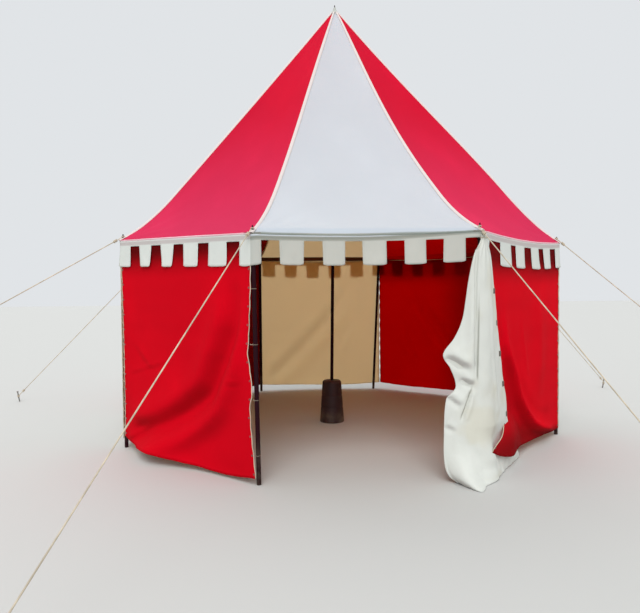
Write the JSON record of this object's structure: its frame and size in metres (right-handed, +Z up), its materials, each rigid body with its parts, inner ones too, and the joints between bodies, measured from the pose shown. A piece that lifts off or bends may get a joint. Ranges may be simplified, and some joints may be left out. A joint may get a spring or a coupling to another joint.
{
  "type": "circus pavilion tent",
  "caption": "Octagonal pavilion tent with a steep pointed roof in alternating red and white cloths, canvas walls, a castellated valance, a drawn-aside door curtain, poles, guy ropes and pegs.",
  "frame": {"origin": "on the ground under the apex, within the foot of the base of the centre pole, which leans a little", "axes": "+Z up; -Y out through the doorway; +X to the right as seen when facing the doorway"},
  "size_m": [9.9527, 9.306, 4.963],
  "materials": {
    "red_canvas": "matt cotton canvas, red",
    "white_canvas": "matt cotton canvas, off-white",
    "valance_canvas": "matt cotton canvas, off-white",
    "rope": "laid rope, cream",
    "dark_pole": "near-black paint, worn",
    "base_block": "dark maroon, matt",
    "peg_steel": "bare steel, dull"
  },
  "bodies": {
    "root": {"roof_panel_front": "white_canvas", "valance_front": "valance_canvas", "roof_panel_front_right": "red_canvas", "valance_front_right": "valance_canvas", "wall_front_right": "red_canvas", "roof_panel_right": "white_canvas", "valance_right": "valance_canvas", "wall_right": "white_canvas", "roof_panel_back_right": "red_canvas", "valance_back_right": "valance_canvas", "wall_back_right": "red_canvas", "roof_panel_back": "white_canvas", "valance_back": "valance_canvas", "wall_back": "white_canvas", "roof_panel_back_left": "red_canvas", "valance_back_left": "valance_canvas", "wall_back_left": "red_canvas", "roof_panel_left": "white_canvas", "valance_left": "valance_canvas", "wall_left": "white_canvas", "roof_panel_front_left": "red_canvas", "valance_front_left": "valance_canvas", "wall_front_left": "red_canvas", "door_curtain": "white_canvas", "corner_pole_front_left": "dark_pole", "guy_rope_front_left": "rope", "ground_peg_front_left": "peg_steel", "corner_pole_front_right": "dark_pole", "guy_rope_front_right": "rope", "ground_peg_front_right": "peg_steel", "corner_pole_right_front": "dark_pole", "guy_rope_right_front": "rope", "ground_peg_right_front": "peg_steel", "corner_pole_right_back": "dark_pole", "guy_rope_right_back": "rope", "ground_peg_right_back": "peg_steel", "corner_pole_back_right": "dark_pole", "guy_rope_back_right": "rope", "ground_peg_back_right": "peg_steel", "corner_pole_back_left": "dark_pole", "guy_rope_back_left": "rope", "ground_peg_back_left": "peg_steel", "corner_pole_left_back": "dark_pole", "guy_rope_left_back": "rope", "ground_peg_left_back": "peg_steel", "corner_pole_left_front": "dark_pole", "guy_rope_left_front": "rope", "ground_peg_left_front": "peg_steel", "centre_pole": "dark_pole", "centre_pole_base": "base_block", "apex_cap": "white_canvas"}
  },
  "joints": []
}
